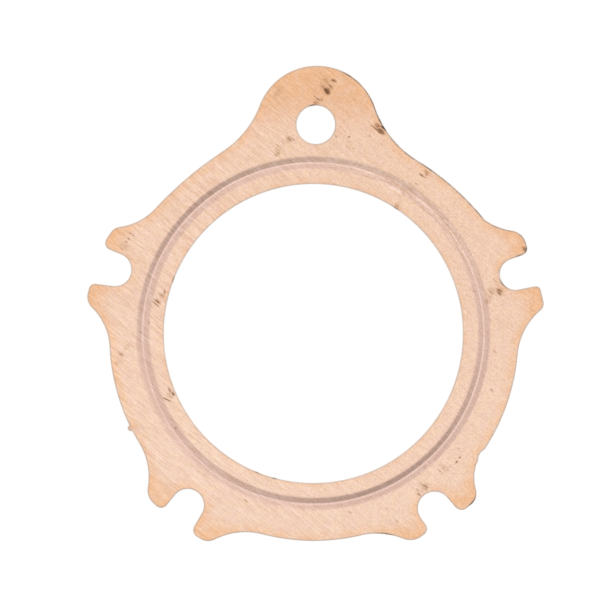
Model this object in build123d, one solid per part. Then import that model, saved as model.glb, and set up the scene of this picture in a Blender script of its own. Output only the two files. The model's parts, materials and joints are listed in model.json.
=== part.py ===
import math
import os

from build123d import *

# Cylinder head gasket, cut from one flat copper sheet: a round bore with a bead pressed
# round it, a closed stud hole in an ear, and four forks whose open notches take studs.
# Millimetres, +Z up. The origin is on the bore's axis at the sheet's underside, +Y is
# towards the ear, and the bead's ridge reaches below the underside.

# Sheet and bore
sheet_thickness = 0.5
bore_radius = 39.0

# Bead: a shallow channel seen from above, a ridge seen from below
bore_land = 4.0
bead_width = 3.1
bead_depth = 0.4
bead_floor_width = 0.4
bend_radius = 0.5
foot_bend_radius = 2.5

# Studs, evenly spread on a circle whose centre lies a little off the bore's axis
stud_count = 5
stud_web = 4.65
notch_radius = 4.25
hole_radius = 5.0
circle_shift_x = 0.15
circle_shift_y = -0.83
hole_shift_x = -0.15
hole_shift_y = 0.34

# Outer edge of the ring, this far inside the studs' circle
ring_inset = 1.6

# The ring's edge runs in one stretch between each two neighbouring studs. Clockwise from
# the ear, each gives how much further in it lies, how much flatter its arc is than the
# ring's own, as a longer radius, and the bearing at which the two run side by side.
stretches = [
    {"inset": 0.1, "flatter": 16.0, "bearing": 35.0},
    {"inset": -0.05, "flatter": 0.0, "bearing": 108.0},
    {"inset": 0.05, "flatter": 0.0, "bearing": 180.0},
    {"inset": -0.05, "flatter": 0.0, "bearing": 252.0},
    {"inset": 0.4, "flatter": 44.5, "bearing": 317.0},
]

# Ear round the closed stud hole
ear_margin = 11.0
ear_shift_x = 0.15
ear_shift_y = -0.25
ear_blend_right = 26.0
ear_blend_left = 25.0

# Forks: two prongs each, with a rounded mouth, a rounded shoulder and a hollow flank, whose
# arc runs smoothly into the ring's edge, or bites into it and meets it at a corner
prong_reach = 5.0
prong_width = 7.1
mouth_flare = 0.15
mouth_radius = 1.9
tip_slope = 0.1
tip_flat = 0.3
shoulder_radius = 3.8
flank_radius = 17.0
flank_bite = 0.0

# No two forks are cut quite alike. In clockwise order from the ear, each gives how far
# its notch lies outward and clockwise of its place, what its notch radius differs by, and
# what its first and second prong differ by from the sizes above.
forks = [
    {
        "shift": (0.1, 0.1),
        "notch": -0.2,
        "first": {"reach": 0.05, "width": 0.25, "slope": -0.1, "shoulder": 0.65, "bite": 0.6},
        "second": {"reach": 0.1, "width": -0.45, "flare": 0.3, "mouth": -0.6, "slope": 0.1, "shoulder": -1.5},
    },
    {
        "shift": (-0.25, 0.2),
        "notch": 0.05,
        "first": {"reach": -0.15, "width": 0.3, "flare": 0.1, "mouth": 0.3, "flank": -6.0},
        "second": {"reach": -0.95, "width": 0.7, "flare": -0.15, "slope": -0.1, "shoulder": 1.15, "flank": 1.2},
    },
    {
        "shift": (-0.05, 0.15),
        "notch": -0.05,
        "first": {"reach": 0.2, "width": -0.25, "flare": 0.25, "mouth": 0.2, "flank": 0.8},
        "second": {"reach": 0.1, "width": 0.2, "shoulder": 0.75},
    },
    {
        "shift": (-0.2, -0.05),
        "notch": 0.0,
        "first": {"reach": -0.1, "width": -0.4, "flare": 0.65, "mouth": -0.25, "shoulder": 0.2, "flank": -1.75},
        "second": {"reach": -0.25, "width": -0.15, "flare": 0.05, "slope": 0.35, "shoulder": -0.3, "flank": -1.65},
    },
]

# Marks left on the ring's edge: the stub of a cut tab and a nick, each at its bearing in
# degrees clockwise from the ear
stub_radius = 0.85
stub_proud = 0.85
stub_bearing = 242.8
nick_radius = 3.0
nick_depth = 0.35
nick_bearing = 124.3

# Worked out from the sizes above
bead_radius = bore_radius + bore_land + bead_width / 2
bead_outer_radius = bead_radius + bead_width / 2
stud_circle_radius = bead_outer_radius + stud_web + notch_radius
ring_radius = stud_circle_radius - ring_inset
ear_radius = hole_radius + ear_margin
circle_centre = Vector(circle_shift_x, circle_shift_y)
ear_place = circle_centre + Vector(0, stud_circle_radius)
ear_centre = ear_place + Vector(ear_shift_x, ear_shift_y)
hole_centre = ear_place + Vector(hole_shift_x, hole_shift_y)
prong_sizes = {
    "reach": prong_reach,
    "width": prong_width,
    "flare": mouth_flare,
    "mouth": mouth_radius,
    "slope": tip_slope,
    "shoulder": shoulder_radius,
    "flank": flank_radius,
    "bite": flank_bite,
}


def bearing(degrees):
    """The direction at an angle clockwise from +Y."""
    turn = math.radians(degrees)
    return Vector(math.sin(turn), math.cos(turn))


def leftward(direction):
    """A direction turned a quarter turn to the left."""
    return Vector(-direction.Y, direction.X)


def on_circle(centre, radius, towards):
    """The point of a circle that faces another point."""
    return centre + (towards - centre).normalized() * radius


def arc(centre, radius, start, end):
    """The shorter arc of a circle between two of its points."""
    middle = on_circle(centre, radius, (start + end) * 0.5)
    return ThreePointArc(start, middle, end)


def meeting(centre_a, reach_a, centre_b, reach_b):
    """The point at two given distances from two centres, on the left of the way from a to b."""
    way = centre_b - centre_a
    ahead = way.normalized()
    along = (reach_a**2 - reach_b**2 + way.length**2) / (2 * way.length)
    aside = math.sqrt(max(0.0, reach_a**2 - along**2))
    return centre_a + ahead * along + leftward(ahead) * aside


def normal_left(centre_a, centre_b, gap):
    """The unit normal, left of the way from a to b, along which b's centre lies `gap` past a's."""
    way = centre_b - centre_a
    ahead = way.normalized()
    share = gap / way.length
    return ahead * share + leftward(ahead) * math.sqrt(1 - share**2)


def prong(stud, outward, sideways, notch, ring_circle, differs):
    """One prong's edges from the floor of its notch to the ring, and the point where they end.

    They are worked out with X outward and Y sideways from the stud, as circles that touch
    each other and the straight wall and tip between them.
    """
    size = {name: value + differs.get(name, 0) for name, value in prong_sizes.items()}
    mouth = size["mouth"]
    flank = size["flank"]
    shoulder = min(size["shoulder"], size["width"] - mouth - tip_flat)
    half_mouth = notch + size["flare"]
    half_fork = half_mouth + size["width"]

    ring_place, ring = ring_circle
    from_stud = ring_place - stud
    ring_centre = Vector(from_stud.dot(outward), from_stud.dot(sideways))
    notch_centre = Vector(0, 0)
    mouth_centre = Vector(size["reach"] - mouth, half_mouth + mouth)
    shoulder_centre = Vector(size["reach"] - size["slope"] - shoulder, half_fork - shoulder)
    flank_centre = meeting(ring_centre, ring + flank - size["bite"], shoulder_centre, shoulder + flank)
    wall_normal = normal_left(notch_centre, mouth_centre, notch + mouth)
    tip_normal = normal_left(shoulder_centre, mouth_centre, shoulder - mouth)

    def place(point):
        return stud + outward * point.X + sideways * point.Y

    floor = place(Vector(-notch, 0))
    wall_start = place(wall_normal * notch)
    wall_end = place(mouth_centre - wall_normal * mouth)
    tip_start = place(mouth_centre + tip_normal * mouth)
    tip_end = place(shoulder_centre + tip_normal * shoulder)
    flank_start = place(on_circle(shoulder_centre, shoulder, flank_centre))
    flank_end = place(meeting(flank_centre, flank, ring_centre, ring))
    edges = [
        arc(stud, notch, floor, wall_start),
        Line(wall_start, wall_end),
        arc(place(mouth_centre), mouth, wall_end, tip_start),
        Line(tip_start, tip_end),
        arc(place(shoulder_centre), shoulder, tip_end, flank_start),
        arc(place(flank_centre), flank, flank_start, flank_end),
    ]
    return edges, flank_end


def stretch_circle(place):
    """The centre and radius of the ring's edge in one of its stretches, clockwise from the ear."""
    stretch = stretches[place % len(stretches)]
    centre = circle_centre - bearing(stretch["bearing"]) * stretch["flatter"]
    return centre, ring_radius - stretch["inset"] + stretch["flatter"]


def ear_edges(right_circle, left_circle):
    """The ear's edges, and the points where its blends run into the ring right and left of it."""
    right_centre, right = right_circle
    left_centre, left = left_circle
    blend_right = meeting(ear_centre, ear_radius + ear_blend_right, right_centre, right + ear_blend_right)
    blend_left = meeting(left_centre, left + ear_blend_left, ear_centre, ear_radius + ear_blend_left)
    tip = ear_centre + Vector(0, ear_radius)
    right_start = on_circle(ear_centre, ear_radius, blend_right)
    right_end = on_circle(right_centre, right, blend_right)
    left_start = on_circle(ear_centre, ear_radius, blend_left)
    left_end = on_circle(left_centre, left, blend_left)
    edges = [
        arc(ear_centre, ear_radius, tip, right_start),
        arc(blend_right, ear_blend_right, right_start, right_end),
        arc(ear_centre, ear_radius, tip, left_start),
        arc(blend_left, ear_blend_left, left_start, left_end),
    ]
    return edges, right_end, left_end


def outline():
    """The face inside the sheet's outer edge, with the marks left on that edge."""
    circles = [stretch_circle(place) for place in range(stud_count)]
    edges, last_point, closing_point = ear_edges(circles[0], circles[-1])
    for place in range(1, stud_count):
        fork = forks[(place - 1) % len(forks)]
        outward = bearing(360 / stud_count * place)
        clockwise = bearing(360 / stud_count * place + 90)
        shift_out, shift_clockwise = fork["shift"]
        stud = circle_centre + outward * (stud_circle_radius + shift_out) + clockwise * shift_clockwise
        notch = notch_radius + fork["notch"]
        before = circles[place - 1]
        after = circles[place]
        first_edges, first_point = prong(stud, outward, -clockwise, notch, before, fork["first"])
        second_edges, second_point = prong(stud, outward, clockwise, notch, after, fork["second"])
        edges += [arc(*before, last_point, first_point)] + first_edges + second_edges
        last_point = second_point
    edges.append(arc(*circles[-1], last_point, closing_point))
    stub = circle_centre + bearing(stub_bearing) * (ring_radius + stub_proud - stub_radius)
    nick = circle_centre + bearing(nick_bearing) * (ring_radius - nick_depth + nick_radius)
    return make_face(edges) + Pos(stub) * Circle(stub_radius) - Pos(nick) * Circle(nick_radius)


def rounded(face, corners, radius):
    """A face with the given corners rounded."""
    vertices = [face.vertices().sort_by_distance(Vector(*corner))[0] for corner in corners]
    return fillet(vertices, radius)


def beaded_band(seam_radius):
    """The sheet from the bore to just past the bead: one section of even thickness, turned."""
    foot = bead_width / 2
    floor = bead_floor_width / 2
    fall = math.atan2(bead_depth, foot - floor)
    spread = sheet_thickness * math.tan(fall / 2)
    top_feet = [(bead_radius + side * foot, sheet_thickness) for side in (-1, 1)]
    channel = [(bead_radius + side * floor, sheet_thickness - bead_depth) for side in (-1, 1)]
    lower_feet = [(bead_radius + side * (foot + spread), 0) for side in (1, -1)]
    ridge = [(bead_radius + side * (floor + spread), -bead_depth) for side in (1, -1)]
    section = make_face(
        Polyline(
            (bore_radius, sheet_thickness),
            top_feet[0],
            channel[0],
            channel[1],
            top_feet[1],
            (seam_radius, sheet_thickness),
            (seam_radius, 0),
            lower_feet[0],
            ridge[0],
            ridge[1],
            lower_feet[1],
            (bore_radius, 0),
            close=True,
        )
    )
    section = rounded(section, ridge, bend_radius + sheet_thickness)
    section = rounded(section, channel, bend_radius)
    section = rounded(section, top_feet, foot_bend_radius + sheet_thickness)
    section = rounded(section, lower_feet, foot_bend_radius)
    return revolve(Plane.XZ * section, Axis.Z)


def head_gasket():
    """The whole gasket: the flat sheet with its holes, and the beaded band set into it."""
    seam_radius = bead_outer_radius + (foot_bend_radius + sheet_thickness) / 2
    hole = Pos(hole_centre) * Circle(hole_radius)
    sheet = extrude(outline() - Circle(seam_radius) - hole, sheet_thickness)
    return sheet + beaded_band(seam_radius)


os.makedirs("parts", exist_ok=True)
gasket = head_gasket()
export_step(gasket, "parts/gasket.step")
print("gasket", round(gasket.volume, 1), "mm3", gasket.bounding_box().size)
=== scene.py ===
import json
import math

import bmesh
import bpy
import numpy as np
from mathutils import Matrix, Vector
from mathutils.geometry import delaunay_2d_cdt
from mathutils.kdtree import KDTree


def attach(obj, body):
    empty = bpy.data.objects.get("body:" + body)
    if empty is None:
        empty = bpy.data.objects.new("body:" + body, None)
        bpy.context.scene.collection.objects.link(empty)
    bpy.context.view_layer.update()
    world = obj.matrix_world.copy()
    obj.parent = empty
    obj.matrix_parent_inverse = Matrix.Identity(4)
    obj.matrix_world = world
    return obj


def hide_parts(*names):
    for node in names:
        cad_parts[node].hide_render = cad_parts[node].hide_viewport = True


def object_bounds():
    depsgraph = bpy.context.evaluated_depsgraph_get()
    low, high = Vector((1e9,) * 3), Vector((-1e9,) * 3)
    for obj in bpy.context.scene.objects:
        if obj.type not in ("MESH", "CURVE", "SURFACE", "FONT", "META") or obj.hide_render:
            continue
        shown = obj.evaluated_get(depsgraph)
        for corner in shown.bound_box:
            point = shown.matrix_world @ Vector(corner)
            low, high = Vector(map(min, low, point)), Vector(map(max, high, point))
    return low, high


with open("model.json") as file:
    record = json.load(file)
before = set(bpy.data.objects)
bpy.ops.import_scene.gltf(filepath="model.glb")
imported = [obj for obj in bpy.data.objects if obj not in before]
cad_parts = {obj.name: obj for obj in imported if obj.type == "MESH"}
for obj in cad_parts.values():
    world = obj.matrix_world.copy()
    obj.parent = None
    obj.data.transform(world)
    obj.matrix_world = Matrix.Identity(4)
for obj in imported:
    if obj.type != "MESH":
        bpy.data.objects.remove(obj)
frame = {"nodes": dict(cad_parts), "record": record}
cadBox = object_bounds()
cadLow, cadHigh = cadBox
print("frame loaded")

mm = 0.001
tau = 2 * math.pi
mounts = {mount["name"]: mount for mount in frame["record"]["mounts"]}
sheetThickness = mounts["top_face"]["pos_m"][2]
boreRadius = mounts["bore"]["dims"]["r_mm"] * mm
holeRadius = mounts["stud_hole"]["dims"]["r_mm"] * mm
holeCentre = complex(*mounts["stud_hole"]["pos_m"][:2])


# the camera looks straight down

camera = {
    "aim": (-2.255 * mm, 7.403 * mm),  # the point of the sheet in the middle of the picture
    "viewWidth": 159.2 * mm,
    "height": 0.9,
    "roll": math.radians(0.677),
    "sensorWidth": 36.0,
}


def placeCamera():
    lens = bpy.data.cameras.new("camera")
    lens.sensor_width = camera["sensorWidth"]
    lens.lens = camera["sensorWidth"] * camera["height"] / camera["viewWidth"]
    eye = bpy.data.objects.new("camera", lens)
    bpy.context.scene.collection.objects.link(eye)
    eye.location = (*camera["aim"], sheetThickness + camera["height"])
    eye.rotation_euler = (0, 0, camera["roll"])
    lens.clip_start = 0.01
    lens.clip_end = 10
    bpy.context.scene.camera = eye


placeCamera()
print("camera placed")


# helpers that build node trees

class Wire:
    # one output socket of a tree; sums and products of wires add Math nodes
    def __init__(self, tree, socket):
        self.tree = tree
        self.socket = socket

    def maths(self, operation, *others):
        values = dict(enumerate((self, *others)))
        return node(self.tree, "ShaderNodeMath", {"operation": operation}, values)[0]

    def __add__(self, other):
        return self.maths("ADD", other)

    def __sub__(self, other):
        return self.maths("SUBTRACT", other)

    def __mul__(self, other):
        return self.maths("MULTIPLY", other)

    def __truediv__(self, other):
        return self.maths("DIVIDE", other)

    def __pow__(self, other):
        return self.maths("POWER", other)

    def __neg__(self):
        return self.maths("MULTIPLY", -1.0)

    def __rsub__(self, other):
        return (-self).maths("ADD", other)

    def __rtruediv__(self, other):
        return self.maths("POWER", -1.0).maths("MULTIPLY", other)

    __radd__ = __add__
    __rmul__ = __mul__

    def clamped(self):
        return self.maths("MINIMUM", 1.0).maths("MAXIMUM", 0.0)

    def rising(self, low, high, smooth=True):
        # 0 below low, 1 above high; it falls instead where low is above high
        settings = {"interpolation_type": "SMOOTHSTEP" if smooth else "LINEAR"}
        values = {"Value": self, "From Min": low, "From Max": high}
        return node(self.tree, "ShaderNodeMapRange", settings, values)[0]


def node(tree, kind, settings=None, values=None):
    # adds a node, sets what it does, then its sockets, and gives its outputs as wires
    made = tree.nodes.new(kind)
    for name, value in (settings or {}).items():
        setattr(made, name, value)
    for name, value in (values or {}).items():
        socket = made.inputs[name]
        if isinstance(value, Wire):
            tree.links.new(value.socket, socket)
        else:
            socket.default_value = value
    return Outputs(tree, made)


class Outputs:
    def __init__(self, tree, made):
        self.tree = tree
        self.made = made

    def __getitem__(self, name):
        return Wire(self.tree, self.made.outputs[name])


def linear(red, green, blue):
    # a colour as seen, 0 to 255, in the renderer's linear values
    def one(value):
        share = value / 255
        return share / 12.92 if share <= 0.04045 else ((share + 0.055) / 1.055) ** 2.4
    return (one(red), one(green), one(blue), 1.0)


# the sheet's outline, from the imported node

outlineSettings = {
    "sharpTurn": 0.36,  # radians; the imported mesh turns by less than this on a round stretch
    "sag": 0.045 * mm,  # and its chords lie less than this inside the arcs
    "evenness": 0.05,  # how strongly neighbouring chords share one curvature
    "spacing": 0.36 * mm,
}


def topLoops(source):
    # the closed loops along which the top face meets a wall, as complex numbers
    shape = bmesh.new()
    shape.from_mesh(source.data)
    bmesh.ops.remove_doubles(shape, verts=shape.verts, dist=1e-6)
    onward = {}
    for edge in shape.edges:
        level = all(abs(vertex.co.z - sheetThickness) < 1e-6 for vertex in edge.verts)
        if not level or len(edge.link_faces) != 2:
            continue
        up = [face for face in edge.link_faces if face.normal.z > 0.99]
        wall = [face for face in edge.link_faces if abs(face.normal.z) < 0.1]
        if len(up) == 1 and len(wall) == 1:
            loop = next(corner for corner in edge.link_loops if corner.face == up[0])
            onward[loop.vert.index] = loop.link_loop_next.vert.index
    places = [complex(vertex.co.x, vertex.co.y) for vertex in shape.verts]
    shape.free()
    loops = []
    while onward:
        first, following = onward.popitem()
        chain = [first]
        while following != first:
            chain.append(following)
            following = onward.pop(following)
        loops.append(np.array([places[index] for index in chain]))
    return loops


def roundedLoop(corners):
    # every chord becomes the arc that it was cut from, so the loop is smooth at any distance
    chords = np.roll(corners, -1) - corners
    lengths = np.abs(chords)
    turns = np.angle(chords / np.roll(chords, 1))
    sags = np.abs(turns) * np.minimum(lengths, np.roll(lengths, 1)) / 8
    sharp = (np.abs(turns) > outlineSettings["sharpTurn"]) | (sags > outlineSettings["sag"])
    count = len(corners)
    rows, wanted = [], []
    for index in range(count):
        if sharp[index]:
            continue
        meets = np.zeros(count)
        meets[index - 1] = meets[index] = 0.5
        rows.append(meets)
        wanted.append(turns[index])
        alike = np.zeros(count)
        weight = outlineSettings["evenness"] * min(lengths[index], lengths[index - 1])
        alike[index - 1] = weight / lengths[index - 1]
        alike[index] = -weight / lengths[index]
        rows.append(alike)
        wanted.append(0.0)
    sweeps = np.linalg.lstsq(np.array(rows), np.array(wanted), rcond=None)[0]
    points = []
    for index in range(count):
        steps = max(1, round(lengths[index] / outlineSettings["spacing"]))
        sweep = sweeps[index] if abs(sweeps[index]) > 1e-6 else 1e-6
        shares = np.arange(steps) / steps
        reach = np.sin(sweep * shares / 2) / math.sin(sweep / 2)
        points.append(corners[index] + chords[index] * reach * np.exp(0.5j * sweep * (shares - 1)))
    return np.concatenate(points)


loops = topLoops(frame["nodes"]["gasket"])
outline = roundedLoop(max(loops, key=lambda loop: np.abs(np.roll(loop, -1) - loop).sum()))
print("outline read:", len(loops), "loops,", len(outline), "points")


# the blank: the flat sheet with its cut edges, before the bead is pressed

blank = {
    "roll": 0.11 * mm,  # rounding of the upper rim, where the punch drew the sheet down
    "rollSteps": 4,
    "burr": 0.04 * mm,  # rounding of the lower rim
    "support": 0.16 * mm,  # flat margin that keeps the rounding crisp
    "around": 560,  # points in each ring round the bore
    "fill": 1.15 * mm,  # spacing of the points between the rings and the outline
    "clear": 0.62 * mm,  # least distance of such a point from any loop
    "seam": 0.5 * mm,  # the last ring lies this far outside the bead's outer foot
    # where the rings lie, as shares of half the bead's floor and of half its width, and on the land
    "floorRings": (0, 0.5, 0.8, 1.0, 1.35, 1.8, 2.4),
    "flankRings": (0.4, 0.5, 0.6, 0.68, 0.76, 0.84, 0.92, 1.0, 1.08, 1.16, 1.25, 1.36, 1.5),
    "landRings": (0.0, 0.8 * mm, 1.6 * mm),
}

bead = {
    "width": 3.1 * mm,
    "floorWidth": 0.4 * mm,
    "softness": 0.03 * mm,  # height over which the bends beside the floor are rounded
    "footSoftness": 0.13 * mm,  # and the wider bends at the bead's feet
    "footShift": (0.20 * mm, 0.03 * mm),  # how far off centre the die's outer half sat
    "widening": (-0.03 * mm, 0.08 * mm),  # towards which side the bead's feet spread
    "waveHeight": 0.03 * mm,  # how far the flat part dips here and there
    "waveSize": 26 * mm,
    "waveSeed": 4.0,
}


def ringPlaces(radius):
    return radius * np.exp(1j * tau * np.arange(blank["around"]) / blank["around"])


def inset(loop, distance):
    # the loop moved to its left, into the metal
    before = loop - np.roll(loop, 1)
    after = np.roll(loop, -1) - loop
    before = before / np.abs(before)
    after = after / np.abs(after)
    way = before + after
    way = way / np.abs(way)
    stretch = np.clip((way * np.conj(after)).real, 0.5, 1)
    return loop + 1j * way * distance / stretch


def cutSection():
    # how far in and how high each line of a cut edge lies, from the top face to the bottom one
    steps = blank["rollSteps"]
    quarter = [math.pi / 2 * step / steps for step in range(steps + 1)]
    roll, burr = blank["roll"], blank["burr"]
    upper = [(roll * (1 - math.sin(turn)), sheetThickness - roll * (1 - math.cos(turn)))
             for turn in quarter]
    middle = [(0.0, sheetThickness * 0.5)]
    lower = [(burr * (1 - math.cos(turn)), burr * (1 - math.sin(turn)))
             for turn in quarter[::2]]
    return upper + middle + lower


def insideLoop(points, loop):
    # even-odd test of many points against one closed loop
    inside = np.zeros(len(points), bool)
    ends = np.roll(loop, -1)
    for start, end in zip(loop, ends):
        spans = (start.imag > points.imag) != (end.imag > points.imag)
        if spans.any():
            slope = (end.real - start.real) / (end.imag - start.imag)
            crossing = start.real + (points.imag[spans] - start.imag) * slope
            inside[spans] ^= points.real[spans] < crossing
    return inside


def nearness(loopPoints):
    tree = KDTree(len(loopPoints))
    for index, point in enumerate(loopPoints):
        tree.insert((point.real, point.imag, 0), index)
    tree.balance()
    return tree


def distances(tree, points):
    return np.array([tree.find((point.real, point.imag, 0))[2] for point in points])


class Blank:
    def __init__(self):
        self.places = []
        self.faces = []

    def row(self, loop, height):
        first = len(self.places)
        self.places += [(point.real, point.imag, height) for point in loop]
        return np.arange(first, len(self.places))

    def strip(self, rows):
        # a band of four-sided faces through rows of equally many points
        for one, other in zip(rows, rows[1:]):
            for start, end, far, near in zip(one, np.roll(one, -1), np.roll(other, -1), other):
                self.faces.append((int(start), int(end), int(far), int(near)))


def beadRings(seam):
    # radii from the seam inwards: close together at the bead's bends, wider on its flanks
    offsets = [bead["floorWidth"] / 2 * share for share in blank["floorRings"]]
    offsets += [bead["width"] / 2 * share for share in blank["flankRings"]]
    radii = {beadRadius + side * offset for side in (-1, 1) for offset in offsets}
    inner = boreRadius + blank["roll"] + blank["support"]
    radii |= {inner + distance for distance in blank["landRings"]}
    return sorted((radius for radius in radii if inner <= radius < seam), reverse=True)


def layBlank():
    sheet = Blank()
    section = cutSection()
    margin = blank["roll"] + blank["support"]
    seam = beadRadius + bead["width"] / 2 * blank["flankRings"][-1] + blank["seam"]
    holePoints = max(48, round(tau * holeRadius / outlineSettings["spacing"]))
    hole = holeCentre + holeRadius * np.exp(-1j * tau * np.arange(holePoints) / holePoints)
    seamRing = np.conj(ringPlaces(seam))
    inner = [inset(outline, margin), inset(hole, margin), seamRing]

    # points between the loops, in a grid of even triangles
    step = blank["fill"]
    across = np.arange(cadLow.x, cadHigh.x, step)
    fill = []
    for line, height in enumerate(np.arange(cadLow.y, cadHigh.y, step * math.sqrt(0.75))):
        fill += [complex(x + step / 2 * (line % 2), height) for x in across]
    fill = np.array(fill)
    fill = fill[np.abs(fill) > seam + blank["clear"]]
    fill = fill[np.abs(fill - holeCentre) > holeRadius + margin + blank["clear"]]
    fill = fill[insideLoop(fill, outline)]
    fill = fill[distances(nearness(inner[0]), fill) > blank["clear"]]

    flat = np.concatenate([*inner, fill])
    edges, first = [], 0
    for loop in inner:
        numbers = list(range(first, first + len(loop)))
        edges += list(zip(numbers, numbers[1:] + numbers[:1]))
        first += len(loop)
    scale = 1 / mm  # the triangulation works best on numbers near one
    scaled = [Vector((point.real * scale, point.imag * scale)) for point in flat]
    made = delaunay_2d_cdt(scaled, edges, [], 0, 1e-5)
    corners, triangles, sources = made[0], made[2], made[3]
    assert len(corners) == len(flat), "the loops cross each other"
    origin = [source[0] for source in sources]
    middles = np.array([sum(flat[origin[corner]] for corner in face) / 3 for face in triangles])
    kept = insideLoop(middles, inner[0])
    kept &= ~insideLoop(middles, inner[1]) & ~insideLoop(middles, seamRing)
    kept &= np.abs(middles) > seam * 0.99999
    top = sheet.row(flat, sheetThickness)
    bottom = sheet.row(flat, 0.0)
    for face, keep in zip(triangles, kept):
        if keep:
            numbers = [origin[corner] for corner in face]
            sheet.faces.append(tuple(int(top[number]) for number in numbers))
            sheet.faces.append(tuple(int(bottom[number]) for number in reversed(numbers)))

    # the cut edges of the outline and the stud hole
    first = 0
    for loop, rim in zip(inner[:2], (outline, hole)):
        span = slice(first, first + len(loop))
        edge = [sheet.row(inset(rim, depth), height) for depth, height in section]
        sheet.strip([top[span]] + edge + [bottom[span]])
        first += len(loop)

    # the rings from the seam to the bore, over its edge and back underneath
    span = slice(first, first + len(seamRing))
    radii = beadRings(seam)
    over = [sheet.row(np.conj(ringPlaces(radius)), sheetThickness) for radius in radii]
    edge = [sheet.row(np.conj(ringPlaces(boreRadius + depth)), height) for depth, height in section]
    under = [sheet.row(np.conj(ringPlaces(radius)), 0.0) for radius in reversed(radii)]
    sheet.strip([top[span]] + over + edge + under + [bottom[span]])
    return sheet


def beadFromNode():
    # the ridge's middle radius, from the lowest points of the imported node
    places = [vertex.co for vertex in frame["nodes"]["gasket"].data.vertices]
    radii = [math.hypot(place.x, place.y) for place in places if place.z < cadLow.z + 1e-6]
    return (min(radii) + max(radii)) / 2


beadRadius = beadFromNode()
beadDepth = -cadLow.z


def blankObject():
    sheet = layBlank()
    mesh = bpy.data.meshes.new("gasketSheet")
    mesh.from_pydata(sheet.places, [], sheet.faces)
    shape = bmesh.new()
    shape.from_mesh(mesh)
    loose = [vertex for vertex in shape.verts if not vertex.link_faces]
    bmesh.ops.delete(shape, geom=loose, context="VERTS")
    bmesh.ops.recalc_face_normals(shape, faces=shape.faces)
    unclosed = [edge for edge in shape.edges if len(edge.link_faces) != 2]
    assert not unclosed, f"{len(unclosed)} open edges in the blank"
    shape.to_mesh(mesh)
    shape.free()
    flat = np.array([complex(vertex.co.x, vertex.co.y) for vertex in mesh.vertices])
    toOutline = distances(nearness(outline), flat)
    toHole = np.abs(np.abs(flat - holeCentre) - holeRadius)
    toBore = np.abs(np.abs(flat) - boreRadius)
    for name, values in {"toOutline": toOutline, "toHole": toHole, "toBore": toBore}.items():
        layer = mesh.attributes.new(name, "FLOAT", "POINT")
        layer.data.foreach_set("value", (values / mm).astype(np.float32))
    piece = bpy.data.objects.new("gasketSheet", mesh)
    bpy.context.scene.collection.objects.link(piece)
    return piece


gasket = blankObject()
print("blank cut:", len(gasket.data.polygons), "faces")


# the finish: brushed copper, a little tarnished, with shade and highlights painted into its colour
# in places

copper = {
    "pale": linear(241, 207, 185),
    "rosy": linear(240, 204, 184),
    "sallow": linear(243, 210, 181),
    "warm": linear(242, 190, 146),
    "tip": linear(239, 187, 144),
    "ear": linear(236, 187, 147),
    # the bead's mauve tint, partly its own colour and partly painted shade on its flanks
    "bead": linear(231, 194, 180),
    # painted highlight colour of the bead's middle line
    "beadLine": linear(238, 206, 195),
    # grey of the painted shadow line along the cut edges
    "cut": linear(168, 168, 168),
    # painted highlight colour of the rounded rim
    "roll": linear(240, 233, 226),
    "darkCut": linear(92, 74, 60),
    "stain": linear(104, 67, 48),
    "smudge": linear(186, 137, 105),
    "olive": linear(202, 162, 126),
    "metallic": 1.0,
    "roughness": 0.36,
    "brushing": math.radians(-38),  # direction of the scratches, from +X
    "brushDepth": 0.010,  # mm
    "brushRelief": 0.5,
    "brushRoughness": 0.25,
    "stainRoughness": 0.15,
    # the long, short and fine scratches: how fine along and across the brushing, and their share
    "lines": (((0.07, 3.2, 1), 0.2), ((0.22, 3.8, 1), 0.5), ((0.6, 5.5, 1), 0.3)),
    "grainScale": (2.4, 4.0, 1),
    "leftSpan": (40, -40),  # from here, in mm along X, the scratches take over from the grain
    "wander": 0.02,  # radians by which the dashes of the stains turn to and fro
    "brushTone": 0.86,  # how strongly the scratches lighten and darken the metal
    "grainTone": 0.43,
    "topTone": 0.05,  # painted shade: how much darker the top of the sheet is painted, and the bottom lighter
    "topBearing": 12,  # degrees clockwise from +Y
    "ringTone": (0.5, 0.1),  # the fine rings on the bead, where it was stretched and everywhere
    "blotchTone": (0.4, 0.06),
    "flankTone": (0.1, 0.055),  # painted shade: how much darker the outer flank is painted, lower right and upper left
    "toneTint": (0.84, 1.23, 1.6),  # how strongly these tones change red, green and blue
    # how much of its colour each region takes
    "sallowTint": 0.8,
    "earTint": 1.0,
    "rimTint": 0.6,
    "boreTint": 0.4,
    "tipTint": 0.9,
    "beadTint": 0.7,
    "lineTint": 0.7,
    "oliveTint": 0.55,
    "smudgeTint": 0.7,
    "stainTint": 0.85,
    "rollTint": 0.8,
    # where each region starts and where it is full, in mm: up from the bore's axis for the
    # ear, out from it for the tips, and away from the edge or the bead's middle for the rest
    "earSpan": (50, 65),
    "tipSpan": (53.0, 58.5),
    "rimSpan": (3.4, 0.5),
    "boreSpan": (2.2, 0.3),
    "beadSpan": (2.0, 1.4),
    "lineSpan": (0.3, 0.1),
    "cutSpan": (0.56, 0.26),
    "darkCutSpan": (0.5, 0.2),
    "blackSpan": (0.5, 0.16),
    "rollSpan": (0.15, 0.05),
    # bearings clockwise from +Y in degrees, and how far in radians each sector reaches and
    # is full to either side: where the bead was stretched, its shaded flanks, the dark edge
    "stretched": (37, 0.72, 0.28),
    "topFlank": (5, 0.9, 0.4),
    "lowerRight": (132, 1.15, 0.5),
    "upperLeft": (-60, 0.9, 0.5),
    "darkEdge": (36, 0.62, 0.3),
    "spotEdge": (1.35, 0.2),  # a mark fades out between these shares of its size
}

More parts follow.
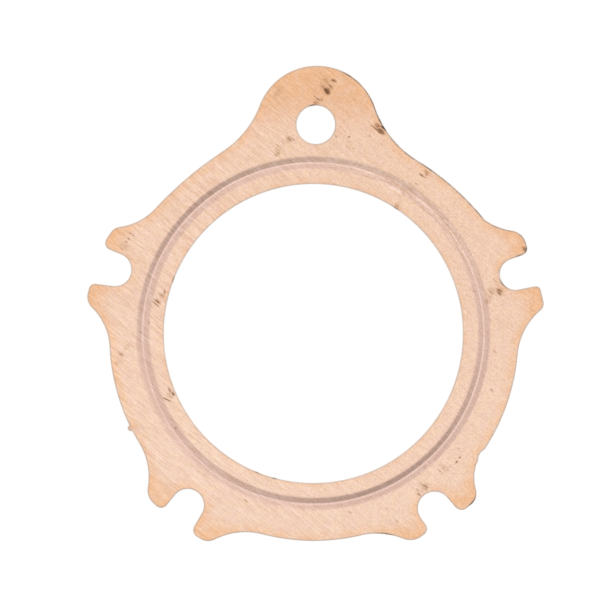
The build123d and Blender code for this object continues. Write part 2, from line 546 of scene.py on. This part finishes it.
# marks of use, in mm: each list gives the place, the size, how strong the mark is, and more
marks = {
    # soft stains: length along and width across the brushing
    "stains": [
        (2.8, 63.4, 1.35, 1.0, 1.1),
        (1.9, 64.3, 1.5, 1.0, 0.5),
        (2.4, 66.0, 1.4, 1.0, 0.42),
        (3.6, 64.7, 1.2, 0.4, 0.55),
        (2.0, 67.0, 1.6, 0.6, 0.3),
        (1.4, 61.0, 0.7, 0.6, 0.5),
        (0.4, 60.6, 1.2, 0.7, 0.55),
        (17.0, 52.9, 1.6, 0.75, 1.1),
        (16.0, 54.4, 1.1, 0.7, 0.8),
        (17.5, 54.0, 0.9, 0.45, 0.9),
        (29.2, 42.3, 1.3, 0.9, 0.36),
        (28.6, 41.2, 1.0, 0.4, 0.4),
        (25.6, 38.6, 2.2, 1.5, 0.12),
        (23.9, 37.4, 2.4, 1.9, 0.25),
        (21.6, 33.7, 1.0, 0.7, 0.6),
        (54.8, 22.7, 1.0, 0.6, 0.7),
        (48.5, 11.5, 1.6, 1.3, 0.6),
        (46.6, 11.5, 1.9, 1.2, 0.42),
        (47.9, 14.2, 1.6, 1.0, 0.22),
        (45.5, 9.2, 1.0, 1.8, 0.42),
        (-49.6, 22.4, 1.8, 1.5, 0.3),
        (-40.6, 7.8, 1.2, 0.8, 0.55),
        (-39.6, 9.4, 1.0, 0.8, 0.55),
        (-50.0, -6.1, 1.1, 0.8, 0.55),
        (-37.2, -16.6, 1.3, 0.8, 0.45),
        (-51.0, -8.4, 0.8, 0.8, 0.3),
        (-48.6, -4.2, 0.9, 0.8, 0.3),
        (-7.0, 50.6, 1.3, 0.9, 0.52),
        (-17.1, -43.8, 0.9, 0.3, 0.65),
        (29.3, -39.6, 1.7, 1.2, 0.5),
        (28.0, -41.2, 1.0, 1.3, 0.32),
        (34.6, -34.9, 2.2, 1.1, 0.25),
        (47.3, -4.1, 0.7, 0.4, 0.4),
        (46.7, -14.3, 0.8, 0.5, 0.42),
        (10.0, -46.6, 0.8, 0.3, 0.65),
        (19.6, -45.5, 0.8, 0.3, 0.5),
        (22.3, -48.6, 0.9, 0.4, 0.42),
        (8.9, 49.0, 1.2, 1.6, 0.2),
        (41.6, 11.7, 2.0, 0.9, 0.2),
        (48.2, 17.0, 0.6, 1.4, 0.3),
        (-9.9, 62.9, 1.0, 2.4, 0.42),
        (-9.8, 47.6, 1.3, 1.9, 0.3),
        (8.6, 49.6, 1.2, 1.4, 0.2),
    ],
    # scratches and specks: length, width, strength and direction in degrees
    "scratches": [
        (-41.2, 7.2, 1.5, 0.21, 0.75, -40),
        (-41.1, 8.0, 1.2, 0.2, 0.65, -37),
        (-40.6, 7.65, 0.5, 0.25, 0.8, -40),
        (-40.6, 8.1, 0.65, 0.19, 0.55, -43),
        (-39.9, 9.6, 0.9, 0.21, 0.5, -33),
        (-38.95, 10.35, 0.95, 0.35, 0.55, 90),
        (14.9, 54.2, 1.0, 0.23, 0.65, -34),
        (16.0, 53.4, 1.8, 0.3, 0.85, -34),
        (17.5, 54.0, 0.75, 0.3, 0.8, -40),
        (14.2, 51.6, 0.6, 0.23, 0.4, -38),
        (3.7, 64.6, 1.0, 0.32, 0.7, -40),
        (4.9, 65.85, 0.6, 0.25, 0.7, -35),
        (-0.3, 61.8, 0.65, 0.2, 0.5, -36),
        (0.5, 61.25, 0.8, 0.24, 0.8, -35),
        (-0.3, 60.2, 0.6, 0.23, 0.65, -20),
        (27.7, 41.65, 0.9, 0.34, 0.7, -42),
        (29.0, 41.8, 0.6, 0.3, 0.5, -30),
        (26.4, 39.35, 0.6, 0.19, 0.4, -42),
        (25.1, 38.05, 0.8, 0.19, 0.25, -44),
        (48.4, 11.8, 1.0, 0.32, 0.7, -35),
        (48.6, 10.95, 0.7, 0.28, 0.6, -30),
        (45.2, 10.9, 0.7, 0.22, 0.4, -40),
        (45.9, 10.1, 0.6, 0.2, 0.4, -40),
        (45.3, 8.8, 0.7, 0.22, 0.4, -60),
        (28.5, -38.8, 1.3, 0.17, 0.35, -36),
        (29.9, -39.55, 0.9, 0.26, 0.65, -25),
        (29.9, -40.3, 0.5, 0.21, 0.55, -20),
        (30.2, -39.0, 1.2, 0.15, 0.3, 0),
        (27.6, -40.45, 0.5, 0.21, 0.55, -47),
        (28.1, -41.7, 0.7, 0.25, 0.7, -44),
        (34.5, -34.65, 0.35, 0.21, 0.55, -50),
        (33.5, -35.6, 0.35, 0.23, 0.65, -40),
        (33.2, -35.3, 0.8, 0.15, 0.35, -35),
        (35.4, -34.6, 0.5, 0.17, 0.35, -40),
        (37.85, -33.05, 0.65, 0.25, 0.8, 48),
        (38.65, -31.9, 0.42, 0.25, 0.8, 50),
        (38.3, -29.7, 0.3, 0.25, 0.55, -40),
        (-48.0, 25.55, 0.7, 0.21, 0.5, -14),
        (-47.2, 25.05, 0.5, 0.21, 0.5, -55),
        (-48.45, 24.15, 0.65, 0.27, 0.65, -42),
        (-49.05, 23.35, 0.4, 0.3, 0.55, -30),
        (-50.25, 21.45, 0.5, 0.2, 0.5, -32),
        (-49.2, 21.5, 0.75, 0.2, 0.2, -48),
        (-49.95, -6.1, 0.55, 0.3, 0.4, -35),
        (-50.9, -5.35, 0.55, 0.18, 0.15, -52),
        (-48.9, -4.65, 0.35, 0.25, 0.35, -30),
        (-48.3, -3.7, 0.35, 0.25, 0.35, -30),
        (-5.85, 50.6, 0.65, 0.21, 0.55, -47),
        (-6.9, 50.6, 0.8, 0.3, 0.65, -38),
        (-9.9, 48.95, 0.7, 0.2, 0.45, -43),
        (-9.7, 46.9, 0.7, 0.24, 0.65, -45),
        (-10.25, 46.4, 0.5, 0.24, 0.65, -47),
        (-8.4, 49.5, 0.7, 0.2, 0.25, -37),
        (-9.6, 47.6, 0.8, 0.18, 0.35, -47),
        (-38.0, -17.7, 1.5, 0.26, 0.75, -24),
        (-36.4, -16.2, 0.7, 0.34, 1.0, -58),
        (-37.3, -15.3, 1.1, 0.42, 0.6, -60),
        (55.0, 22.6, 0.9, 0.6, 0.7, -62),
        (8.7, 51.4, 0.34, 0.28, 0.85, 0),
        (5.3, 51.5, 0.6, 0.4, 0.4, -60),
        (-43.0, 2.4, 0.42, 0.4, 0.5, 0),
        (-45.1, -0.2, 0.36, 0.32, 0.4, 0),
        (-35.6, -25.1, 0.4, 0.34, 0.65, 0),
        (44.4, -10.9, 0.5, 0.3, 0.1, 20),
        (4.5, 66.1, 0.85, 0.42, 0.8, -20),
        (16.1, 54.4, 0.8, 0.45, 0.55, -40),
        (25.6, 38.75, 0.7, 0.18, 0.35, -44),
        (24.6, 37.9, 0.9, 0.18, 0.35, -44),
        (24.0, 37.3, 0.9, 0.18, 0.35, -42),
        (23.2, 36.5, 0.8, 0.16, 0.5, -44),
        (29.2, -39.3, 0.7, 0.2, 0.5, -35),
        (34.9, -35.3, 0.5, 0.16, 0.25, -40),
        (34.0, -34.9, 0.4, 0.16, 0.4, -40),
        (33.9, -36.1, 0.4, 0.16, 0.35, -40),
        (36.0, -34.4, 0.3, 0.2, 0.35, 0),
        (-10.3, 48.1, 0.7, 0.2, 0.25, -44),
        (47.1, 14.6, 0.9, 0.16, 0.25, -42),
        (47.9, 13.1, 0.7, 0.18, 0.3, -42),
        (47.5, 13.9, 0.7, 0.14, 0.15, -42),
        (46.9, 11.9, 0.8, 0.16, 0.35, -38),
        (8.8, 50.1, 0.4, 0.3, 0.25, -20),
        (9.9, 48.4, 0.4, 0.3, 0.4, 0),
        (2.9, 65.6, 0.8, 0.2, 0.4, -40),
        (1.6, 64.6, 0.8, 0.2, 0.4, -40),
        (22.8, 37.9, 0.9, 0.18, 0.35, -44),
        (25.0, 39.2, 0.8, 0.16, 0.35, -44),
    ],
    # stretches of cut edge that are nearly black: reach and strength
    "darkRims": [
        (8.0, 67.4, 2.0, 0.8),
        (16.8, 55.6, 1.3, 0.9),
        (17.6, 53.6, 1.1, 1.0),
        (29.6, 43.4, 1.8, 0.7),
        (42.2, 31.6, 1.6, 0.75),
        (53.6, 20.9, 1.2, 0.6),
        (55.4, 22.4, 1.2, 0.8),
        (54.6, 24.8, 2.2, 0.4),
        (49.2, 13.2, 1.8, 0.7),
        (41.9, -43.2, 1.8, 0.9),
        (9.6, 66.4, 3.0, 0.4),
        (14.4, 60.6, 3.0, 0.35),
        (19.3, -52.0, 2.4, 0.75),
        (-0.7, 59.3, 1.4, 0.8),
        (-14.4, -36.7, 0.9, 0.6),
        (-9.7, -38.0, 0.9, 0.6),
        (21.3, 33.2, 1.0, 0.7),
        (-36.5, 13.6, 1.2, 0.5),
        (16.6, 55.4, 1.0, 1.1),
        (16.1, 56.4, 0.8, 0.6),
    ],
}


def copperMaterial():
    made = bpy.data.materials.new("brushedCopper")
    made.use_nodes = True
    tree = made.node_tree
    tree.nodes.clear()

    def noise(place, scale, detail, roughness=0.5):
        values = {"Vector": place, "Scale": scale, "Detail": detail, "Roughness": roughness}
        return node(tree, "ShaderNodeTexNoise", {"noise_dimensions": "3D"}, values)["Fac"]

    def mixed(share, one, other, blend="MIX"):
        settings = {"data_type": "RGBA", "blend_type": blend, "clamp_factor": True}
        return node(tree, "ShaderNodeMix", settings, {0: share, 6: one, 7: other})[2]

    def vector(operation, *values, result=0):
        settings = {"operation": operation}
        return node(tree, "ShaderNodeVectorMath", settings, dict(enumerate(values)))[result]

    def streaks(place, scale, detail=1.0):
        return noise(vector("MULTIPLY", place, scale), 1.0, detail)

    def turned(place, angle):
        values = {"Vector": place, "Angle": angle}
        return node(tree, "ShaderNodeVectorRotate", {"rotation_type": "Z_AXIS"}, values)[0]

    def attribute(name):
        return node(tree, "ShaderNodeAttribute", {"attribute_name": name})["Fac"]

    values = {0: node(tree, "ShaderNodeTexCoord")["Object"], "Scale": 1 / mm}
    place = node(tree, "ShaderNodeVectorMath", {"operation": "SCALE"}, values)[0]
    along = turned(place, -copper["brushing"])
    flat = node(tree, "ShaderNodeSeparateXYZ", None, {0: place})
    radius = vector("LENGTH", vector("MULTIPLY", place, (1, 1, 0)), result="Value")
    bearing = flat["X"].maths("ARCTAN2", flat["Y"])
    toOutline, toHole, toBore = attribute("toOutline"), attribute("toHole"), attribute("toBore")
    fromBead = radius - beadRadius / mm

    def sector(name):
        # 1 round a bearing, falling to 0 on both sides of it
        middle, far, near = copper[name]
        return (bearing - math.radians(middle)).maths("ABSOLUTE").rising(far, near)

    # the brushing shows most on the left, the grain on the right
    long, short, fine = (streaks(along, scale) * share for scale, share in copper["lines"])
    brush = long + short + fine
    grain = streaks(along, copper["grainScale"])
    leftward = flat["X"].rising(*copper["leftSpan"])
    lined = (leftward * 0.65 + 0.55) * copper["brushTone"]
    grained = (1.15 - leftward * 0.45) * copper["grainTone"]
    tone = (brush - 0.5) * lined + (grain - 0.5) * grained

    # colour by region, each with an uneven border
    cloud = noise(place, 0.5, 3.0, 0.6)
    patches = noise(place, 0.34, 3.0, 0.6)
    mottle = noise(vector("MULTIPLY", along, (0.9, 1.5, 1)), 1.0, 2.0, 0.6)
    colour = mixed(cloud.rising(0.42, 0.6), copper["pale"], copper["rosy"])
    colour = mixed(mottle.rising(0.45, 0.62) * copper["sallowTint"], colour, copper["sallow"])
    ear = flat["Y"].rising(*copper["earSpan"]) * (patches.rising(0.3, 0.6) * 0.46 + 0.54)
    colour = mixed(ear * copper["earTint"], colour, copper["ear"])
    rim = toOutline.rising(*copper["rimSpan"]) * (patches.rising(0.35, 0.6) * 0.8 + 0.2)
    rim = rim * (radius.rising(48, 52.5) * 0.7 + 0.3)  # weaker round the notches
    colour = mixed(rim * copper["rimTint"], colour, copper["warm"])
    boreRim = toBore.rising(*copper["boreSpan"]) * patches.rising(0.42, 0.62)
    colour = mixed(boreRim * copper["boreTint"], colour, copper["warm"])
    tips = radius.rising(*copper["tipSpan"]) * flat["Y"].rising(46, 34)
    tips = tips * (cloud.rising(0.36, 0.62) * 0.55 + 0.4)
    colour = mixed(tips * copper["tipTint"], colour, copper["tip"])

    # the bead: a mauve tint, partly its own colour and partly painted shade on its flanks; duller
    # where the metal was stretched, and with less painted shade along its outer flank at the top
    onBead = fromBead.maths("ABSOLUTE").rising(*copper["beadSpan"])
    outerSide = fromBead.rising(0.1, 0.6)
    stretched = sector("stretched")
    stretchAndFlankShade = stretched.maths("MAXIMUM", sector("topFlank") * outerSide)
    colour = mixed(onBead * (copper["beadTint"] - stretchAndFlankShade * 0.3), colour, copper["bead"])
    # a painted highlight along the bead's middle line, weaker where the metal was stretched
    ridge = fromBead.maths("ABSOLUTE").rising(*copper["lineSpan"])
    colour = mixed(ridge * (copper["lineTint"] - stretched * 0.6), colour, copper["beadLine"])

    # fine rings along the bead and mottling on it, strongest where the metal was stretched
    def stretchedMore(there, everywhere):
        return stretched * there + everywhere

    roundBore = {0: radius * 3.4, 1: bearing * 5.0, 2: 0.0}
    rings = noise(node(tree, "ShaderNodeCombineXYZ", None, roundBore)[0], 1.0, 0.0) - 0.5
    tone = tone + rings * onBead * stretchedMore(*copper["ringTone"])
    blotch = noise(place, 1.1, 2.0, 0.6) - 0.5
    tone = tone + blotch * onBead * stretchedMore(*copper["blotchTone"])
    # painted shade: the bead's outer flank is darkened at the lower right and the upper left
    right, left = copper["flankTone"]
    paintedFlankShade = sector("lowerRight") * right + sector("upperLeft") * left
    paintedFlankShade = 1 - paintedFlankShade * (outerSide * onBead)
    # painted shade: the top of the sheet is painted a little darker than the bottom
    shadedTowardTop = (bearing - math.radians(copper["topBearing"])).maths("COSINE")
    tone = tone - shadedTowardTop * copper["topTone"] * (1 - onBead)
    shades = {number: tone * share + paintedFlankShade for number, share in enumerate(copper["toneTint"])}
    shade = node(tree, "ShaderNodeCombineColor", None, shades)[0]
    colour = mixed(1.0, colour, shade, "MULTIPLY")

    def spot(local, turn, x, y, length, width, strength):
        # 1 in the middle of an ellipse, times its strength, and 0 outside it
        u = x * math.cos(turn) + y * math.sin(turn)
        v = y * math.cos(turn) - x * math.sin(turn)
        size, offset = (1 / length, 1 / width, 0), (-u / length, -v / width, 0)
        away = vector("LENGTH", vector("MULTIPLY_ADD", local, size, offset), result="Value")
        return away.rising(*copper["spotEdge"]) * strength

    def strongest(spots):
        # folded in pairs, so that no chain of nodes grows long
        while len(spots) > 1:
            pairs = [one.maths("MAXIMUM", other) for one, other in zip(spots[::2], spots[1::2])]
            spots = pairs + spots[len(pairs) * 2:]
        return spots[0]

    # soft stains, broken into dashes along the brushing
    halo = strongest([spot(along, copper["brushing"], *stain) for stain in marks["stains"]])
    bent = turned(along, (patches - 0.5) * copper["wander"])
    dashes = streaks(bent, (0.5, 4.8, 1), 0.0).rising(0.42, 0.66)
    breaks = streaks(bent, (1.1, 1.6, 1)).rising(0.3, 0.7) * 0.3
    dark = (halo * 1.3 - (1 - dashes) * 0.5 - breaks).clamped()

    # scratches, each along its own direction
    solid = []
    for *scratch, direction in marks["scratches"]:
        turn = math.radians(direction)
        solid.append(spot(turned(place, -turn), turn, *scratch))
    dark = dark.maths("MAXIMUM", strongest(solid) * (dashes * 0.3 + 0.8))
    colour = mixed(halo.rising(0.05, 0.65, False) * copper["oliveTint"], colour, copper["olive"])
    colour = mixed(dark.rising(0.0, 0.55, False) * copper["smudgeTint"], colour, copper["smudge"])
    colour = mixed(dark.rising(0.35, 1.05, False) * copper["stainTint"], colour, copper["stain"])

    # cut edges: a thin grey line of painted shadow, darker at the upper right and where it is
    # marked
    toEdge = toOutline.maths("MINIMUM", toHole).maths("MINIMUM", toBore)
    uneven = noise(place, 0.55, 2.0, 0.6).rising(0.35, 0.65)
    darkEdge = sector("darkEdge") * radius.rising(48, 50)
    paintedEdgeShadow = toEdge.rising(*copper["cutSpan"]) * (toOutline.rising(0.6, 0.3) * 0.06 + 0.36)
    colour = mixed(paintedEdgeShadow, colour, copper["cut"])
    dull = toEdge.rising(*copper["darkCutSpan"]) * darkEdge * (uneven * 0.35 + 0.15)
    colour = mixed(dull, colour, copper["darkCut"])
    black = strongest([spot(place, 0.0, x, y, reach, reach, strength)
                       for x, y, reach, strength in marks["darkRims"]])
    black = black * toEdge.rising(*copper["blackSpan"]) * (uneven * 0.4 + 0.7)
    colour = mixed(black, colour, copper["darkCut"])
    # a painted highlight on the rounded rim, where it catches the light, on the upper face only
    roll = toEdge.rising(*copper["rollSpan"]) * flat["Z"].rising(0.36, 0.4)
    roll = roll * (1 - black) * (1 - darkEdge * 0.7)
    colour = mixed(roll * copper["rollTint"], colour, copper["roll"])

    roughness = (brush - 0.5) * copper["brushRoughness"] + copper["roughness"]
    roughness = roughness + dark * copper["stainRoughness"]
    values = {
        "Strength": copper["brushRelief"],
        "Distance": copper["brushDepth"] * mm,
        "Height": brush * (1 - onBead),
    }
    bump = node(tree, "ShaderNodeBump", None, values)["Normal"]
    values = {
        "Base Color": colour,
        "Roughness": roughness,
        "Metallic": copper["metallic"],
        "Normal": bump,
    }
    surface = node(tree, "ShaderNodeBsdfPrincipled", None, values)
    end = tree.nodes.new("ShaderNodeOutputMaterial")
    tree.links.new(surface["BSDF"].socket, end.inputs["Surface"])
    return made


finish = copperMaterial()
print("copper mixed:", len(finish.node_tree.nodes), "nodes")


# the bead is pressed with Geometry Nodes

def pressTree():
    tree = bpy.data.node_groups.new("pressBead", "GeometryNodeTree")
    tree.interface.new_socket("Geometry", in_out="OUTPUT", socket_type="NodeSocketGeometry")
    sizes = ["Bead Radius", "Bead Width", "Floor Width", "Bead Depth", "Softness", "Foot Softness",
             "Foot Shift X", "Foot Shift Y", "Widening X", "Widening Y", "Thickness",
             "Wave Height", "Wave Size", "Wave Seed"]
    tree.interface.new_socket("Geometry", in_out="INPUT", socket_type="NodeSocketGeometry")
    for name in sizes:
        tree.interface.new_socket(name, in_out="INPUT", socket_type="NodeSocketFloat")
    tree.interface.new_socket("Finish", in_out="INPUT", socket_type="NodeSocketMaterial")
    given = node(tree, "NodeGroupInput")
    (beadAt, width, floor, depth, soft, footSoft, shiftX, shiftY, widenX, widenY, thickness,
     wave, waveSize, seed) = (given[name] for name in sizes)

    place = node(tree, "GeometryNodeInputPosition")[0]
    axes = node(tree, "ShaderNodeSeparateXYZ", None, {0: place})
    radius = (axes["X"] * axes["X"] + axes["Y"] * axes["Y"]).maths("SQRT")
    away = (radius - beadAt).maths("ABSOLUTE")
    shift = (axes["X"] * shiftX + axes["Y"] * shiftY) / radius
    widening = (axes["X"] * widenX + axes["Y"] * widenY) / radius
    run = (width - floor) * 0.5 + (radius - beadAt).maths("SIGN") * shift + widening
    # the lower face lies a full thickness away from the upper one, square to the slope
    lowness = 1 - (axes["Z"] / thickness).clamped()
    spread = (depth.maths("ARCTAN2", run) * 0.5).maths("TANGENT") * thickness * lowness
    ramp = (floor * 0.5 + run + spread - away) * depth / run
    pressed = ramp.maths("SMOOTH_MAX", 0.0, footSoft).maths("SMOOTH_MIN", depth, soft)

    # gentle waves of the flat part, cut from a noise by the seed
    layer = {0: axes["X"], 1: axes["Y"], 2: seed * waveSize}
    ground = node(tree, "ShaderNodeCombineXYZ", None, layer)[0]
    shrunk = {0: ground, "Scale": 1 / waveSize}
    scaled = node(tree, "ShaderNodeVectorMath", {"operation": "SCALE"}, shrunk)[0]
    values = {"Vector": scaled, "Scale": 1.0, "Detail": 1.0}
    swell = node(tree, "ShaderNodeTexNoise", None, values)["Fac"]
    dip = swell.rising(0.25, 0.75) * wave * (1 - pressed / depth)
    move = node(tree, "ShaderNodeCombineXYZ", None, {2: -(pressed + dip)})[0]
    values = {"Geometry": given["Geometry"], "Offset": move}
    moved = node(tree, "GeometryNodeSetPosition", None, values)[0]
    real = node(tree, "GeometryNodeRealizeInstances", None, {0: moved})[0]
    values = {"Geometry": real, "Material": given["Finish"]}
    coated = node(tree, "GeometryNodeSetMaterial", None, values)[0]
    end = tree.nodes.new("NodeGroupOutput")
    tree.links.new(coated.socket, end.inputs[0])
    return tree


def pressed(piece):
    tree = pressTree()
    modifier = piece.modifiers.new("pressBead", "NODES")
    modifier.node_group = tree
    values = {
        "Bead Radius": beadRadius,
        "Bead Width": bead["width"],
        "Floor Width": bead["floorWidth"],
        "Bead Depth": beadDepth,
        "Softness": bead["softness"],
        "Foot Softness": bead["footSoftness"],
        "Foot Shift X": bead["footShift"][0],
        "Foot Shift Y": bead["footShift"][1],
        "Widening X": bead["widening"][0],
        "Widening Y": bead["widening"][1],
        "Thickness": sheetThickness,
        "Wave Height": bead["waveHeight"],
        "Wave Size": bead["waveSize"],
        "Wave Seed": bead["waveSeed"],
        "Finish": finish,
    }
    for item in tree.interface.items_tree:
        if item.in_out == "INPUT" and item.name in values:
            modifier[item.identifier] = values[item.name]
    view = bpy.context.evaluated_depsgraph_get()
    result = bpy.data.meshes.new_from_object(piece.evaluated_get(view), depsgraph=view)
    piece.modifiers.clear()
    piece.data = result
    for face in result.polygons:
        face.use_smooth = True
    if finish.name not in result.materials:
        result.materials.clear()
        result.materials.append(finish)
    return piece


pressed(gasket)
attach(gasket, "root")
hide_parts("gasket")
print("bead pressed:", len(gasket.data.vertices), "points")


# the studio

studio = {
    "floorSize": 3.0,
    "floorColour": (0.2, 0.2, 0.2, 1),
    "floorRoughness": 0.9,
    "floorGlow": 0.86,  # keeps the floor white right up to the sheet
    "worldStrength": 0.865,
    "shadeDepth": 0.58,  # how much darker the world is in the direction below
    "shadeTint": (0.98, 1.0, 1.03),  # the shares of it that red, green and blue lose
    "shadeBearing": math.radians(150),  # clockwise from +Y
    "shadeTilt": math.radians(38),  # away from straight up
    "shadeSpread": math.radians(40),
    "shadeFall": 1.6,
    "keyPower": 0.75,
    "keySize": 1.0,
    "keyPlace": (0.12, 0.12, 1.1),
}


def layFloor():
    half = studio["floorSize"] / 2
    mesh = bpy.data.meshes.new("floor")
    corners = [(-half, -half), (half, -half), (half, half), (-half, half)]
    mesh.from_pydata([(*corner, cadLow.z) for corner in corners], [], [(0, 1, 2, 3)])
    floor = bpy.data.objects.new("floor", mesh)
    bpy.context.scene.collection.objects.link(floor)
    paint = bpy.data.materials.new("paleFloor")
    paint.use_nodes = True
    surface = paint.node_tree.nodes["Principled BSDF"]
    surface.inputs["Base Color"].default_value = studio["floorColour"]
    surface.inputs["Roughness"].default_value = studio["floorRoughness"]
    surface.inputs["Specular IOR Level"].default_value = 0.0
    surface.inputs["Emission Color"].default_value = (1, 1, 1, 1)
    surface.inputs["Emission Strength"].default_value = studio["floorGlow"]
    mesh.materials.append(paint)


def hangLights():
    world = bpy.data.worlds.new("studio")
    world.use_nodes = True
    tree = world.node_tree
    away, tilt = studio["shadeBearing"], studio["shadeTilt"]
    shade = (math.sin(away) * math.sin(tilt), math.cos(away) * math.sin(tilt), math.cos(tilt))
    direction = node(tree, "ShaderNodeTexCoord")["Generated"]
    values = {0: direction, 1: shade}
    facing = node(tree, "ShaderNodeVectorMath", {"operation": "DOT_PRODUCT"}, values)["Value"]
    nearer = facing.rising(math.cos(studio["shadeSpread"]), 1.0, False)
    dim = nearer ** studio["shadeFall"] * studio["shadeDepth"]
    shades = {number: 1 - dim * share for number, share in enumerate(studio["shadeTint"])}
    sky = node(tree, "ShaderNodeCombineColor", None, shades)[0]
    tree.links.new(sky.socket, tree.nodes["Background"].inputs["Color"])
    tree.nodes["Background"].inputs["Strength"].default_value = studio["worldStrength"]
    bpy.context.scene.world = world
    light = bpy.data.lights.new("key", "AREA")
    light.shape = "DISK"
    light.size = studio["keySize"]
    light.energy = studio["keyPower"]
    lamp = bpy.data.objects.new("key", light)
    bpy.context.scene.collection.objects.link(lamp)
    lamp.location = studio["keyPlace"]
    lamp.rotation_euler = (-Vector(studio["keyPlace"])).to_track_quat("-Z", "Y").to_euler()
    lamp.visible_camera = False
    bpy.context.scene.view_settings.view_transform = "Standard"


layFloor()
hangLights()
print("studio lit")
